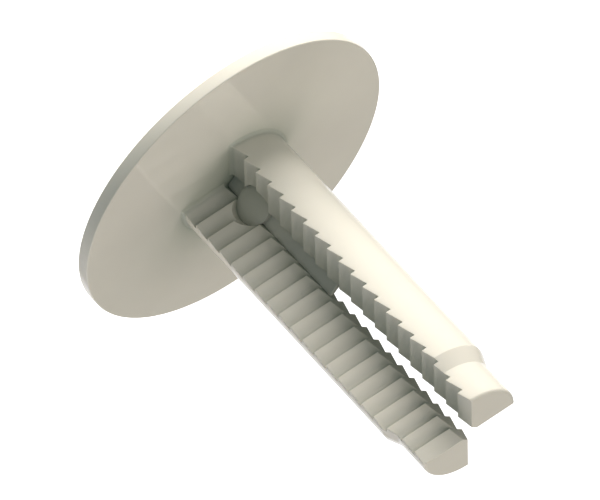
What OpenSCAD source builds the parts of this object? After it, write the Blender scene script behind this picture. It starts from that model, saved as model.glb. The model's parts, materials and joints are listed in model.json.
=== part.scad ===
// Two-legged push-in anchor with a wide thin head and serrated legs, moulded in one piece.
// It stands on its head: z = 0 is the head's outer face, and the legs point up along +Z.
// Each node is one zone of the moulding. The legs are cut where they flex, just past the web.

/* [Head] */
// Diameter of the thin round head
head_d = 30; // [24:0.5:40]
// Thickness of the head
head_t = 1.2; // [0.8:0.1:2]
// Radius that breaks the two edges of the head's rim
rim_round = 0.12; // [0.05:0.01:0.3]

/* [Legs] */
// Diameter over the two legs
shank_d = 10.4; // [9.9:0.1:12]
// Length from the head's bearing face to the tips of the legs
reach = 31.1; // [30.4:0.1:36]
// Diameter over the narrower noses at the tips
nose_d = 9.3; // [8:0.1:9.6]
// Length of the straight part of the noses
nose_len = 3.5; // [2:0.1:5]
// Length of the cone shoulder from the noses to the full diameter
shoulder_len = 1.35; // [0.8:0.05:2]
// Radius on the outer edge of each tip
tip_round = 0.3; // [0.1:0.05:0.6]
// Width of the slit between the legs
slit_w = 1.3; // [0.8:0.1:2]

/* [Serrations] */
// Number of steps on each flank of each leg
steps = 19; // [10:1:19]
// Spacing of the steps along the leg
pitch = 1.56; // [1.4:0.01:1.56]
// Distance from the head's bearing face to the first step
first_step = 1.7; // [1.4:0.05:2]
// Height of a crest above the radial plane of its flank
crest_out = 0.21; // [0.1:0.01:0.3]
// Depth of a valley below the radial plane of its flank
valley_in = 0.29; // [0.1:0.01:0.4]

/* [Web] */
// Thickness of the web that joins the legs across the slit
web_t = 0.5; // [0.4:0.05:0.6]
// Length of the web from the head's bearing face
web_len = 13.5; // [10:0.5:15]
// Diameter of the flat round ejector pad on the web
pad_d = 3.3; // [2.5:0.1:4]
// Height of the pad's face above the middle of the web
pad_rise = 0.64; // [0.4:0.02:0.9]
// Distance from the head's bearing face to the pad's centre
pad_at = 3.2; // [2.4:0.1:5]

/* [Flexing zone] */
// Radius of the round seat on which a leg turns when it flexes
seat_r = 3; // [2.8:0.1:3.2]
// Clearance in the round seat
seat_gap = 0.03; // [0.01:0.01:0.1]

/* [Hidden] */

$fn = 96;
nylon = [0.93, 0.91, 0.83];

head_r = head_d / 2;
shank_r = shank_d / 2;
nose_r = nose_d / 2;
// The core is a little wider than the legs, so that the flange's face is a ring clear of them.
core_r = shank_r + 0.2;
shoulder_end = reach - nose_len;
shoulder_start = shoulder_end - shoulder_len;

// A leg bends like a beam held at the web's end. A beam that bends this way turns as if about
// a point 15 % of its free length past the end that is held.
free_len = reach - web_len;
flex_z = web_len + 0.15 * free_len;
flex_x = (slit_w / 2 + shank_r) / 2;

// Length added beyond a cut, so that no two faces of a cut lie in one plane.
over = 1;

// One flank's outline: distance out of the radial plane, and height. Each ramp starts at a crest
// and falls into the leg, and each step is square to the axis.
tooth_depth = crest_out + valley_in;
last_step = first_step + (steps - 1) * pitch;
end_fall = (reach + over - last_step) / pitch * tooth_depth;
flank_edge = concat(
    [[crest_out, -over], [crest_out, 0]],
    [for (k = [0 : steps - 1], out = [-valley_in, crest_out]) [out, first_step + k * pitch]],
    [[crest_out - end_fall, reach + over]]
);

// Everything on the leg's side of a serrated flank whose outward normal has this bearing.
module flank_side(bearing) {
    rotate([0, 0, bearing])
        rotate([90, 0, 0])
            linear_extrude(height = 4 * shank_r, center = true)
                polygon(concat(flank_edge, [[-2 * shank_r, reach + over], [-2 * shank_r, -over]]));
}

// The round outer form over both legs: shank, cone shoulder and nose with a rounded end.
module shank_form() {
    rotate_extrude() {
        polygon([
            [0, 0], [shank_r, 0], [shank_r, shoulder_start], [nose_r, shoulder_end],
            [nose_r, reach - tip_round], [nose_r - tip_round, reach], [0, reach]
        ]);
        translate([nose_r - tip_round, reach - tip_round])
            circle(r = tip_round);
    }
}

// One whole leg on the +X side, a quarter of the round form between two serrated flanks.
module leg() {
    intersection() {
        shank_form();
        translate([slit_w / 2, -2 * shank_r, -over])
            cube([2 * shank_r, 4 * shank_r, reach + 2 * over]);
        flank_side(135);
        flank_side(-135);
    }
}

// The space of the flexing part of the leg: a round seat of radius r, and all that is above it.
module arm_space(r) {
    translate([flex_x, 0, flex_z])
        rotate([90, 0, 0])
            cylinder(r = r, h = 4 * shank_r, center = true);
    translate([-over, -2 * shank_r, flex_z])
        cube([2 * shank_r + over, 4 * shank_r, reach + over - flex_z]);
}

// The space of the shoulder and the nose.
module nose_space() {
    translate([-over, -2 * shank_r, shoulder_start])
        cube([2 * shank_r + over, 4 * shank_r, reach + over - shoulder_start]);
}

module leg_root() {
    difference() {
        leg();
        arm_space(seat_r + seat_gap);
    }
}

module leg_arm() {
    difference() {
        intersection() {
            leg();
            arm_space(seat_r);
        }
        nose_space();
    }
}

module leg_nose() {
    intersection() {
        leg();
        nose_space();
    }
}

// A round pin square to the web, from the middle of the web outwards on the +Y side.
module pad_pin(h) {
    translate([0, 0, pad_at])
        rotate([-90, 0, 0])
            cylinder(d = pad_d, h = h);
}

// Shapes of the legs and the web sit on the head's bearing face.
module on_head() {
    translate([0, 0, head_t])
        children();
}

module opposite() {
    rotate([0, 0, 180])
        children();
}

// The part of the head that bears on the panel.
module head_flange() {
    color(nylon)
        rotate_extrude() {
            translate([core_r, 0])
                square([head_r - rim_round - core_r, head_t]);
            translate([core_r, rim_round])
                square([head_r - core_r, head_t - 2 * rim_round]);
            for (z = [rim_round, head_t - rim_round])
                translate([head_r - rim_round, z])
                    circle(r = rim_round);
        }
}

// The middle of the head, which carries the legs.
module head_core() {
    color(nylon)
        cylinder(r = core_r, h = head_t);
}

// The thin wall across the slit, with the ejector pad on one side.
module web() {
    color(nylon)
        on_head() {
            translate([-slit_w / 2, -web_t / 2, 0])
                cube([slit_w, web_t, web_len]);
            pad_pin(pad_rise);
        }
}

module leg_a_root() {
    color(nylon)
        on_head()
            difference() {
                leg_root();
                pad_pin(shank_r + over);
            }
}

module leg_a_arm() {
    color(nylon)
        on_head()
            leg_arm();
}

module leg_a_nose() {
    color(nylon)
        on_head()
            leg_nose();
}

module leg_b_root() {
    color(nylon)
        on_head()
            difference() {
                opposite() leg_root();
                pad_pin(shank_r + over);
            }
}

module leg_b_arm() {
    color(nylon)
        on_head()
            opposite() leg_arm();
}

module leg_b_nose() {
    color(nylon)
        on_head()
            opposite() leg_nose();
}

head_flange();
head_core();
web();
leg_a_root();
leg_a_arm();
leg_a_nose();
leg_b_root();
leg_b_arm();
leg_b_nose();
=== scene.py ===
"""The looks of a one-piece nylon push-in anchor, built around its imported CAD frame.

Lengths are millimetres in the anchor's own frame until a mesh is made, and metres after that.
The anchor stands on its head: z = 0 is the head's outer face, and the legs point up.
"""

import json
import math

import bmesh
import bpy
import numpy as np
from mathutils import Matrix, Vector


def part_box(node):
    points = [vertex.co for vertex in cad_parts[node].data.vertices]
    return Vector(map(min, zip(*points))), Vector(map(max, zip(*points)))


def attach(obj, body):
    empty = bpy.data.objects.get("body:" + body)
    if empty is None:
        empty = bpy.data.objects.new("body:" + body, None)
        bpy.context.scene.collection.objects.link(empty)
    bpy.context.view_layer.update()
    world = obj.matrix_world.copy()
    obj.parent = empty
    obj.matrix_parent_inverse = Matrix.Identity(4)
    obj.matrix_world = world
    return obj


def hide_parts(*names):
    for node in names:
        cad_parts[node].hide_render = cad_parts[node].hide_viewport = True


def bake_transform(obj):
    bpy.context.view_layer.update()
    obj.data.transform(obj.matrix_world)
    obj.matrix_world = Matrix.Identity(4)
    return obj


MM = 0.001

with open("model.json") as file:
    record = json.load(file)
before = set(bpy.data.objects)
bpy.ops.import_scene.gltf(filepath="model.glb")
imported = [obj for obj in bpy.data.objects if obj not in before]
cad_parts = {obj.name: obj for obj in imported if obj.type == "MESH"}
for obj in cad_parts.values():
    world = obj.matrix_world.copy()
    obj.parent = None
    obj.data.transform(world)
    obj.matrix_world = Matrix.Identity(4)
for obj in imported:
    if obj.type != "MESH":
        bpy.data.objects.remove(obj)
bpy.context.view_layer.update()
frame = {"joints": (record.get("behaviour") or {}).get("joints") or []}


def box_mm(node):
    """Lowest and highest corner of a CAD node, in millimetres."""
    low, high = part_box(node)
    return low / MM, high / MM


# ---- sizes that the frame gives -----------------------------------------------------------

_, flange_high = box_mm("head_flange")
root_low, root_high = box_mm("leg_a_root")
nose_low, nose_high = box_mm("leg_a_nose")
web_low, web_high = box_mm("web")

HEAD_R = flange_high.x
HEAD_T = flange_high.z
SHANK_R = root_high.x
SLIT_HALF = root_low.x
REACH = nose_high.z - HEAD_T            # from the bearing face to the tips
SHOULDER_START = nose_low.z - HEAD_T    # where the cone between shank and nose begins
WEB_HALF = -web_low.y
WEB_LEN = web_high.z - HEAD_T
PAD_R = web_high.x
PAD_RISE = web_high.y                   # the pad's face above the web's middle
FLEX = [Vector(j["pos_m"]) for j in frame["joints"]]    # where the legs flex, in metres

# ---- sizes inside the nodes, as the CAD source has them -----------------------------------

NOSE_R = 4.65           # of the narrower nose over both legs
SHOULDER_LEN = 1.35     # the cone between shank and nose
TIP_ROUND = 0.3         # outer edge of each tip
STEPS = 19              # on each flank of a leg
PITCH = 1.56            # from one step to the next
FIRST_STEP = 1.7        # from the bearing face to the first step
CREST_OUT = 0.21        # a crest above its flank's radial plane
VALLEY_IN = 0.29        # a valley below that plane
PAD_AT = 3.2            # from the bearing face to the pad's centre

# ---- edge radii and mesh fineness ---------------------------------------------------------

RIM_ROUND = 0.12        # both edges of the head's rim
CREST_ROUND = 0.02      # crests and valleys of the serrations
SHOULDER_ROUND = 0.1    # where the cone meets the shank and the nose
EDGE_ROUND = 0.035      # long edges of the legs, and the edges of the end faces
ROOT_ROUND = 0.25       # fillet where a leg meets the head
SINK = 0.05             # how far pieces reach into each other, so that no gap shows
STEP_LEAN = 0.01        # a step leans this much over its depth, so that heights only rise
OVER = 1.0              # how far outlines and cuts run on past the leg
RING_GAP = 0.0001       # rings of a leg nearer to each other than this become one
WELD = 0.0002           # points nearer to each other than this become one after a cut

ARC_PARTS = 4           # straight parts in a small rounding
RIM_PARTS = 6           # the same in a rounding of the head's rim
OUTER_PARTS = 11        # the same in half of a leg's outer arc
FLANK_PARTS = 6         # strips across a flank
WALL_PARTS = 2          # strips across half of a leg's slit wall
HEAD_SIDES = 256
PAD_SIDES = 96
HEAD_HUB = 0.4          # innermost points on the head's flat faces, as a share of its radius
PAD_HUB = 0.5           # the same on the pad's face
TANGENT = 0.2           # how far the outer arc's tangent is followed, as a share of its radius
SHARP_ANGLE = 35        # edges that turn by more degrees than this stay sharp


# ---- outlines -----------------------------------------------------------------------------

def rounded(points, radius, parts=ARC_PARTS):
    """An open outline with each of its inner corners replaced by an arc of that radius."""
    points = [np.array(p, float) for p in points]
    out = [points[0]]
    for before, corner, after in zip(points, points[1:], points[2:]):
        a = (before - corner) / np.linalg.norm(before - corner)
        b = (after - corner) / np.linalg.norm(after - corner)
        half = math.acos(max(-1.0, min(1.0, float(a @ b)))) / 2
        middle = (a + b) / np.linalg.norm(a + b)
        centre = corner + middle * radius / math.sin(half)
        start = corner + a * radius / math.tan(half) - centre
        end = corner + b * radius / math.tan(half) - centre
        turn = math.pi - 2 * half
        for i in range(parts + 1):
            t = i / parts
            spoke = math.sin((1 - t) * turn) * start + math.sin(t * turn) * end
            out.append(centre + spoke / math.sin(turn))
    out.append(points[-1])
    return out


def flank_profile():
    """(height, distance out of the radial plane) along a serrated flank, from the head to the tip."""
    lean = STEP_LEAN / (CREST_OUT + VALLEY_IN)
    points = [(-OVER, CREST_OUT), (0.0, CREST_OUT)]
    for k in range(STEPS):
        z = FIRST_STEP + k * PITCH
        points.append((z - lean * VALLEY_IN, -VALLEY_IN))
        points.append((z + lean * CREST_OUT, CREST_OUT))
    fall = (CREST_OUT + VALLEY_IN) / PITCH
    end = REACH + OVER
    points.append((end, CREST_OUT - fall * (end - points[-1][0])))
    return np.array(rounded(points, CREST_ROUND))


def radius_profile():
    """(height, outer radius) of the shank, the cone shoulder and the nose, with a square tip."""
    shoulder_end = SHOULDER_START + SHOULDER_LEN
    points = [
        (-OVER, SHANK_R),
        (SHOULDER_START, SHANK_R),
        (shoulder_end, NOSE_R),
        (REACH + OVER, NOSE_R),
    ]
    return np.array(rounded(points, SHOULDER_ROUND))


def section(slit, out, radius):
    """A leg's outline at one height: slit wall, flank, outer arc and flank, with rounded corners.

    The half on the +Y side is made first, from the X axis round to it again, and then mirrored.
    """
    corner = slit + out * math.sqrt(2)
    beta = math.pi / 4 + math.asin(out / radius)
    outer = Vector((radius * math.cos(beta), radius * math.sin(beta)))
    tangent = Vector((math.sin(beta), -math.cos(beta)))
    ahead = outer + tangent * radius * TANGENT
    corners = [(slit, 0), (slit, corner), tuple(outer), tuple(ahead)]
    roundings = rounded(corners, EDGE_ROUND)[1:-1]
    inner_edge, outer_edge = roundings[:ARC_PARTS + 1], roundings[ARC_PARTS + 1:]
    wall = [np.array((slit, inner_edge[0][1] * i / WALL_PARTS)) for i in range(WALL_PARTS)]
    across = outer_edge[0] - inner_edge[-1]
    flank = [inner_edge[-1] + across * i / FLANK_PARTS for i in range(1, FLANK_PARTS)]
    last = math.atan2(outer_edge[-1][1], outer_edge[-1][0])
    angles = [last * (1 - i / OUTER_PARTS) for i in range(1, OUTER_PARTS + 1)]
    arc = [np.array((radius * math.cos(a), radius * math.sin(a))) for a in angles]
    upper = wall + inner_edge + flank + outer_edge + arc
    lower = [p * (1, -1) for p in reversed(upper[1:-1])]
    return upper + lower


def leg_heights(flank, outer):
    """Every height at which a leg has a ring of points."""
    tip_start = REACH - TIP_ROUND
    inside = [z for z in [*flank[:, 0], *outer[:, 0]] if 0 < z < tip_start]
    ramps = [FIRST_STEP + (k + t) * PITCH for k in range(-1, STEPS) for t in (1 / 3, 2 / 3)]
    inside += [z for z in ramps if ROOT_ROUND < z < tip_start]
    quarter = math.pi / 2
    root = [ROOT_ROUND * (1 - math.cos(quarter * i / ARC_PARTS)) for i in range(ARC_PARTS + 1)]
    tip_parts = 2 * ARC_PARTS
    tip = [REACH - TIP_ROUND * (1 - math.sin(quarter * i / tip_parts)) for i in range(tip_parts + 1)]
    edge = [REACH - EDGE_ROUND * (1 - math.sin(quarter * i / ARC_PARTS)) for i in range(ARC_PARTS)]
    heights = sorted([-SINK, *root, *inside, *tip, *edge])
    kept = [heights[0]]
    for z in heights[1:]:
        if z - kept[-1] > RING_GAP:
            kept.append(z)
    return kept


def leg_rings():
    """The rings of points of leg A, from the head to the tip.

    Each ring grows into the fillet at the head, and draws in for the roundings at the tip.
    """
    flank, outer = flank_profile(), radius_profile()
    rings = []
    for z in leg_heights(flank, outer):
        out = float(np.interp(z, flank[:, 0], flank[:, 1]))
        radius = float(np.interp(z, outer[:, 0], outer[:, 1]))
        slit = SLIT_HALF
        if z < ROOT_ROUND:
            low = ROOT_ROUND - max(z, 0.0)
            grow = ROOT_ROUND - math.sqrt(ROOT_ROUND**2 - low**2)
            slit, out, radius = slit - grow, out + grow, radius + grow
        if z > REACH - TIP_ROUND:
            high = z - (REACH - TIP_ROUND)
            radius -= TIP_ROUND - math.sqrt(max(0.0, TIP_ROUND**2 - high**2))
        if z > REACH - EDGE_ROUND:
            high = z - (REACH - EDGE_ROUND)
            inset = EDGE_ROUND - math.sqrt(max(0.0, EDGE_ROUND**2 - high**2))
            slit, out = slit + inset, out - inset
        rings.append([(x, y, z + HEAD_T) for x, y in section(slit, out, radius)])
    return rings


# ---- meshes -------------------------------------------------------------------------------

def new_object(name, bm):
    """A mesh object in metres from a bmesh in millimetres."""
    bmesh.ops.recalc_face_normals(bm, faces=bm.faces)
    bmesh.ops.scale(bm, vec=(MM, MM, MM), verts=bm.verts)
    mesh = bpy.data.meshes.new(name)
    bm.to_mesh(mesh)
    bm.free()
    piece = bpy.data.objects.new(name, mesh)
    bpy.context.scene.collection.objects.link(piece)
    return piece


def loft(name, rings):
    """A closed skin over rings of points, with a flat face at each end."""
    bm = bmesh.new()
    rows = [[bm.verts.new(p) for p in ring] for ring in rings]
    for low, high in zip(rows, rows[1:]):
        for i in range(len(low)):
            j = (i + 1) % len(low)
            bm.faces.new((low[i], low[j], high[j], high[i]))
    bm.faces.new(rows[0])
    bm.faces.new(rows[-1])
    return new_object(name, bm)


def revolve(name, outline, parts, turn=None):
    """A round solid: (radius, height) points turned about Z, and turned to another axis if asked."""
    bm = bmesh.new()
    rows = []
    for radius, z in outline:
        angles = [2 * math.pi * i / parts for i in range(parts)]
        rows.append([bm.verts.new((radius * math.cos(a), radius * math.sin(a), z)) for a in angles])
    for low, high in zip(rows, rows[1:]):
        for i in range(parts):
            j = (i + 1) % parts
            bm.faces.new((low[i], low[j], high[j], high[i]))
    bm.faces.new(rows[0])
    bm.faces.new(rows[-1])
    if turn is not None:
        bmesh.ops.transform(bm, matrix=turn, verts=bm.verts)
    return new_object(name, bm)


def combine(piece, other, operation):
    """Cuts other out of piece, or joins it on, and leaves one plain mesh."""
    cutter = piece.modifiers.new("combine", "BOOLEAN")
    cutter.operation = operation
    cutter.solver = "EXACT"
    cutter.object = other
    bpy.context.view_layer.update()
    combined = piece.evaluated_get(bpy.context.evaluated_depsgraph_get())
    mesh = bpy.data.meshes.new_from_object(combined)
    piece.modifiers.clear()
    piece.data = mesh
    bpy.data.objects.remove(other)
    bm = bmesh.new()
    bm.from_mesh(mesh)
    bmesh.ops.remove_doubles(bm, verts=bm.verts, dist=WELD * MM)
    bmesh.ops.dissolve_degenerate(bm, edges=bm.edges, dist=WELD * MM)
    bm.to_mesh(mesh)
    bm.free()


def smooth(piece):
    """Smooth shading that keeps real corners sharp and lets the largest faces stay flat."""
    piece.data.shade_smooth()
    piece.data.set_sharp_from_angle(angle=math.radians(SHARP_ANGLE))
    normals = piece.modifiers.new("flat_faces", "WEIGHTED_NORMAL")
    normals.keep_sharp = True
    normals.weight = 100


def pad_cylinder(name, start, end, radius, edge=0.0):
    """A cylinder at the ejector pad's place, along Y from start to end, its far edge rounded."""
    corners = [(radius, start), (radius, end), (PAD_HUB * radius, end)]
    outline = rounded(corners, edge) if edge else corners
    turn = Matrix.Translation((0, 0, HEAD_T + PAD_AT)) @ Matrix.Rotation(math.radians(-90), 4, "X")
    return revolve(name, outline, PAD_SIDES, turn)


def make_head():
    """The thin round head, with a rounded rim."""
    hub = HEAD_HUB * HEAD_R
    corners = [(hub, 0), (HEAD_R, 0), (HEAD_R, HEAD_T), (hub, HEAD_T)]
    return revolve("head", rounded(corners, RIM_ROUND, RIM_PARTS), HEAD_SIDES)


def make_web():
    """The thin wall in the slit, with rounded free edges, and the ejector pad on its +Y side."""
    side = SLIT_HALF + SINK
    corners = [(WEB_HALF, -SINK), (WEB_HALF, WEB_LEN), (-WEB_HALF, WEB_LEN), (-WEB_HALF, -SINK)]
    profile = rounded(corners, 2 * EDGE_ROUND)
    rings = [[(x, y, z + HEAD_T) for y, z in profile] for x in (-side, -side / 2, 0, side / 2, side)]
    web = loft("web_wall", rings)
    pad = pad_cylinder("pad", 0.0, PAD_RISE, PAD_R, EDGE_ROUND / 2)
    combine(web, pad, "UNION")
    return web


def make_leg(name, half_turn):
    """One serrated leg, from the head to its tip, with the pocket of the ejector pad cut into it."""
    leg = loft(name, leg_rings())
    if half_turn:
        leg.data.transform(Matrix.Rotation(math.pi, 4, "Z"))
    pocket = pad_cylinder("pocket", PAD_RISE - SINK, SHANK_R + OVER, PAD_R)
    combine(leg, pocket, "DIFFERENCE")
    return leg


# ---- material -----------------------------------------------------------------------------

# The colour sockets of a Mix node, which share their names with its other sockets.
MIX_A, MIX_B, MIX_RESULT = 6, 7, 2

# The nylon's two colours, between which it is clouded. The web's colours are darker and a little
# greener, a painted shade of the deep slit that it stands in.
IVORY = (0.735, 0.7, 0.61), (0.765, 0.73, 0.635)
SHADED_WEB_IVORY = (0.5, 0.5, 0.435), (0.53, 0.53, 0.455)

# Scales of the noises for the clouds, the flow marks and the orange peel, per metre. The flow
# marks are drawn out along the legs, and they vary the roughness of the skin.
CLOUD_SCALE = 160
FLOW_SCALE = 900
PEEL_SCALE = 2600
FLOW_STRETCH = (1, 1, 0.15)
ROUGHNESS = 0.02, 0.045

# Painted shade where surfaces close in, which darkens the colour by their occlusion: how near they
# are, in metres, the tint of a closed place, and the openness at which the tint is full and at which it
# is gone.
PAINTED_CREVICE_SHADE = [
    (0.00045, (0.52, 0.57, 0.54), 0.45, 0.95),
    (0.003, (0.28, 0.36, 0.32), 0.15, 0.6),
]
# The head also has painted shade for some way around the legs, and so do the feet of the legs,
# where the painted shade fades over the foot's height.
HEAD_PAINTED_SHADE = [*PAINTED_CREVICE_SHADE, (0.008, (0.76, 0.82, 0.79), 0.5, 0.95)]
FOOT_SHADE = (0.8, 0.85, 0.82), 0.0, 1.0
FOOT_HEIGHT = 0.5


def natural_nylon(name, low, high, painted_shades, foot=None):
    """Moulded nylon, clouded from the low to the high colour, with a polished, faintly uneven skin and
    painted shade.
    """
    material = bpy.data.materials.new(name)
    material.use_nodes = True
    nodes, links = material.node_tree.nodes, material.node_tree.links
    shader = nodes["Principled BSDF"]
    shader.inputs["IOR"].default_value = 1.5
    shader.inputs["Subsurface Weight"].default_value = 0.05
    shader.inputs["Subsurface Radius"].default_value = (1.0, 0.8, 0.5)
    shader.inputs["Subsurface Scale"].default_value = 0.0003

    place = nodes.new("ShaderNodeTexCoord")

    def noise(scale, detail, stretch=(1, 1, 1)):
        mapping = nodes.new("ShaderNodeMapping")
        mapping.inputs["Scale"].default_value = stretch
        texture = nodes.new("ShaderNodeTexNoise")
        texture.inputs["Scale"].default_value = scale
        texture.inputs["Detail"].default_value = detail
        links.new(place.outputs["Object"], mapping.inputs["Vector"])
        links.new(mapping.outputs["Vector"], texture.inputs["Vector"])
        return texture.outputs["Fac"]

    def ramp(value, low, high, start=0.3, end=0.7):
        node = nodes.new("ShaderNodeValToRGB")
        node.color_ramp.elements[0].position = start
        node.color_ramp.elements[0].color = (*low, 1)
        node.color_ramp.elements[1].position = end
        node.color_ramp.elements[1].color = (*high, 1)
        links.new(value, node.inputs["Fac"])
        return node.outputs["Color"]

    def shaded(colour, amount, tint, start, end):
        """Painted shade: the colour, unchanged where the amount is over end, times the tint where it is
        under start.
        """
        shade = nodes.new("ShaderNodeMix")
        shade.data_type = "RGBA"
        shade.blend_type = "MULTIPLY"
        shade.inputs["Factor"].default_value = 1.0
        links.new(colour, shade.inputs[MIX_A])
        links.new(ramp(amount, tint, (1, 1, 1), start, end), shade.inputs[MIX_B])
        return shade.outputs[MIX_RESULT]

    def openness_within(distance):
        node = nodes.new("ShaderNodeAmbientOcclusion")
        node.samples = 8
        node.inputs["Distance"].default_value = distance
        return node.outputs["AO"]

    def height_over_head():
        """0 at the bearing face, 1 where the foot of a leg ends."""
        axes = nodes.new("ShaderNodeSeparateXYZ")
        links.new(place.outputs["Object"], axes.inputs[0])
        height = nodes.new("ShaderNodeMapRange")
        height.inputs["From Min"].default_value = HEAD_T * MM
        height.inputs["From Max"].default_value = (HEAD_T + FOOT_HEIGHT) * MM
        links.new(axes.outputs["Z"], height.inputs["Value"])
        return height.outputs["Result"]

    colour = ramp(noise(CLOUD_SCALE, detail=3), low, high)
    # Painted shade where surfaces close in, by their occlusion.
    for distance, *shade in painted_shades:
        colour = shaded(colour, openness_within(distance), *shade)
    # Painted shade at the feet of the legs, fading over the foot's height.
    if foot:
        colour = shaded(colour, height_over_head(), *foot)
    links.new(colour, shader.inputs["Base Color"])

    polished, dull = ((roughness,) * 3 for roughness in ROUGHNESS)
    flow = noise(FLOW_SCALE, detail=2, stretch=FLOW_STRETCH)
    links.new(ramp(flow, polished, dull), shader.inputs["Roughness"])

    bump = nodes.new("ShaderNodeBump")
    bump.inputs["Strength"].default_value = 0.03
    bump.inputs["Distance"].default_value = 0.00002
    links.new(noise(PEEL_SCALE, detail=2), bump.inputs["Height"])
    links.new(bump.outputs["Normal"], shader.inputs["Normal"])
    return material


# ---- the anchor ---------------------------------------------------------------------------

def finish_piece(piece, material, nodes):
    """Smooths a piece, gives it its material, and puts it in the place of its CAD nodes."""
    smooth(piece)
    piece.data.materials.clear()
    piece.data.materials.append(material)
    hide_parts(*nodes)


def build_anchor():
    """The head and the web, which stay, and the two legs."""
    # The legs and the head carry painted shade where surfaces close in; the legs also at their feet, the
    # head also around the legs.
    leg_nylon = natural_nylon("leg_nylon", *IVORY, PAINTED_CREVICE_SHADE, FOOT_SHADE)
    head_nylon = natural_nylon("head_nylon", *IVORY, HEAD_PAINTED_SHADE)
    # The web's nylon is darker and greener all over: painted shade of the slit.
    shaded_web_nylon = natural_nylon("shaded_web_nylon", *SHADED_WEB_IVORY, [])

    head = make_head()
    finish_piece(head, head_nylon, ["head_flange", "head_core"])
    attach(head, "root")

    web = make_web()
    finish_piece(web, shaded_web_nylon, ["web"])
    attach(web, "root")

    for name, half_turn, pivot in zip(("leg_a", "leg_b"), (False, True), FLEX):
        leg = make_leg(name, half_turn)
        finish_piece(leg, leg_nylon, [f"{name}_root", f"{name}_arm", f"{name}_nose"])
        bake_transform(leg)


# ---- stage, light and camera --------------------------------------------------------------

# The view: where the camera lies from the anchor and how it is rolled, in degrees.
VIEW_AZIMUTH = 156.2
VIEW_ELEVATION = 25.96
VIEW_ROLL = 137.1
# What the view is wide, and where its centre lies from the middle of the bearing face.
VIEW_WIDTH = 48.66
AIM_RIGHT = 5.36
AIM_UP = -5.70
LENS = 1300.0           # focal length: a long lens, which shows hardly any perspective

FLOOR_HALF = 3000       # half the floor's width
FLOOR_DROP = 0.02       # keeps the floor just clear of the head's outer face

SOFTBOX_AWAY = 300      # from the middle of the anchor
LARGE_SOFTBOX = 300     # its width
SMALL_SOFTBOX = 200


def view_axes():
    """The view's right, up and back directions in the anchor's frame."""
    a, e, roll = (math.radians(v) for v in (VIEW_AZIMUTH, VIEW_ELEVATION, VIEW_ROLL))
    back = Vector((math.sin(a) * math.cos(e), -math.cos(a) * math.cos(e), math.sin(e)))
    level = Vector((math.cos(a), math.sin(a), 0))
    rise = back.cross(level)
    right = level * math.cos(roll) + rise * math.sin(roll)
    return right, back.cross(right), back


def make_camera():
    """The camera, far away on the view's axis."""
    right, up, back = view_axes()
    data = bpy.data.cameras.new("camera")
    data.lens = LENS
    distance = VIEW_WIDTH * LENS / data.sensor_width
    aim = Vector((0, 0, HEAD_T)) + right * AIM_RIGHT + up * AIM_UP
    place = aim + back * distance
    data.clip_start = 0.1 * distance * MM
    data.clip_end = 10 * distance * MM
    camera = bpy.data.objects.new("camera", data)
    turn = Matrix((right, up, back)).transposed().to_4x4()
    camera.matrix_world = Matrix.Translation(place * MM) @ turn
    bpy.context.scene.collection.objects.link(camera)
    bpy.context.scene.camera = camera


def make_floor():
    """A plain white floor that glows evenly and casts no shade. From below it can be seen through."""
    bm = bmesh.new()
    bmesh.ops.create_grid(bm, x_segments=1, y_segments=1, size=FLOOR_HALF)
    bmesh.ops.translate(bm, vec=(0, 0, -FLOOR_DROP), verts=bm.verts)
    floor = new_object("floor", bm)
    material = bpy.data.materials.new("white_floor")
    material.use_nodes = True
    nodes, links = material.node_tree.nodes, material.node_tree.links
    shader = nodes["Principled BSDF"]
    shader.inputs["Base Color"].default_value = (0.8, 0.8, 0.8, 1)
    shader.inputs["Emission Color"].default_value = (1, 1, 1, 1)
    shader.inputs["Emission Strength"].default_value = 1.0
    side = nodes.new("ShaderNodeNewGeometry")
    mix = nodes.new("ShaderNodeMixShader")
    links.new(side.outputs["Backfacing"], mix.inputs["Fac"])
    links.new(shader.outputs["BSDF"], mix.inputs[1])
    links.new(nodes.new("ShaderNodeBsdfTransparent").outputs["BSDF"], mix.inputs[2])
    links.new(mix.outputs["Shader"], nodes["Material Output"].inputs["Surface"])
    floor.data.materials.append(material)
    floor.visible_diffuse = False
    floor.visible_glossy = False
    floor.visible_shadow = False


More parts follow.
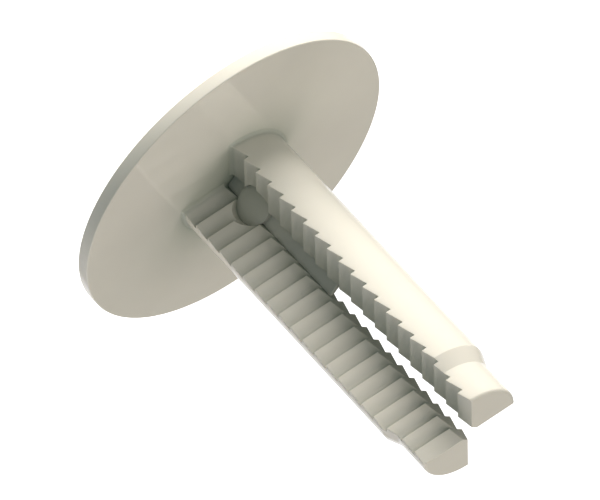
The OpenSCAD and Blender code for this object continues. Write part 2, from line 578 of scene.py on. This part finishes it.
def make_world(ambient, seen, reflections):
    """Even ambient light, the white that the camera sees behind the anchor, and what it mirrors.

    A reflection is (direction, start, end, low, high). Where the cosine to its direction grows
    from start to end, its light grows from low to high. The two reflections add up.
    """
    world = bpy.data.worlds.new("studio")
    bpy.context.scene.world = world
    world.cycles.sampling_method = "NONE"
    world.use_nodes = True
    nodes, links = world.node_tree.nodes, world.node_tree.links
    place = nodes.new("ShaderNodeTexCoord")
    path = nodes.new("ShaderNodeLightPath")

    def glow(direction, start, end, low, high):
        towards = nodes.new("ShaderNodeVectorMath")
        towards.operation = "DOT_PRODUCT"
        towards.inputs[1].default_value = direction
        links.new(place.outputs["Generated"], towards.inputs[0])
        spread = nodes.new("ShaderNodeMapRange")
        spread.interpolation_type = "SMOOTHSTEP"
        limits = {"From Min": start, "From Max": end, "To Min": low, "To Max": high}
        for name, value in limits.items():
            spread.inputs[name].default_value = value
        links.new(towards.outputs["Value"], spread.inputs["Value"])
        return spread.outputs["Result"]

    def mix_for(ray, usual, special):
        mix = nodes.new("ShaderNodeMix")
        mix.data_type = "RGBA"
        links.new(path.outputs[ray], mix.inputs["Factor"])
        for socket, source in ((mix.inputs[MIX_A], usual), (mix.inputs[MIX_B], special)):
            if isinstance(source, tuple):
                socket.default_value = (*source, 1)
            else:
                links.new(source, socket)
        return mix.outputs[MIX_RESULT]

    mirrored = nodes.new("ShaderNodeMath")
    for socket, reflection in zip(mirrored.inputs, reflections):
        links.new(glow(*reflection), socket)
    colour = mix_for("Is Glossy Ray", ambient, mirrored.outputs["Value"])
    colour = mix_for("Is Camera Ray", colour, seen)
    links.new(colour, nodes["Background"].inputs["Color"])


def make_light(name, direction, size, power):
    """A square softbox that faces the middle of the anchor and doesn't mirror in it."""
    data = bpy.data.lights.new(name, "AREA")
    data.size = size * MM
    data.energy = max(power)
    data.color = [p / max(power) for p in power]
    light = bpy.data.objects.new(name, data)
    middle = Vector((0, 0, (HEAD_T + REACH) / 2))
    direction = direction.normalized()
    light.location = (middle + direction * SOFTBOX_AWAY) * MM
    light.rotation_euler = direction.to_track_quat("Z", "Y").to_euler()
    light.visible_glossy = False
    bpy.context.scene.collection.objects.link(light)


def light_stage():
    """The world, the floor, and four softboxes placed by the view's own directions."""
    right, up, back = view_axes()
    make_world(
        ambient=(0.208, 0.245, 0.248),
        seen=(1.05, 1.05, 1.05),
        reflections=[
            # A room that is dark on the far side, so that the legs show in the head's bearing face.
            (Vector((0, 1, 0)), -0.7, -0.2, 0.04, 0.3),
            # A white backdrop straight behind the anchor, which keeps its outlines bright.
            (-back, 0.82, 0.95, 0.0, 0.9),
        ],
    )
    fill_from = right * 0.7 - up * 0.51 + back * 0.5
    low_from = right * -0.27 - up * 0.82 - back * 0.5
    kicker_from = right * -0.7 - up * 0.51 - back * 0.5
    make_light("key", up, LARGE_SOFTBOX, (2.23, 2.14, 2.07))
    make_light("fill", fill_from, SMALL_SOFTBOX, (0.49, 0.445, 0.42))
    make_light("low", low_from, SMALL_SOFTBOX, (0.415, 0.39, 0.395))
    make_light("kicker", kicker_from, SMALL_SOFTBOX, (0.43, 0.405, 0.43))
    make_floor()
    bpy.context.scene.view_settings.view_transform = "Standard"


make_camera()
light_stage()
build_anchor()
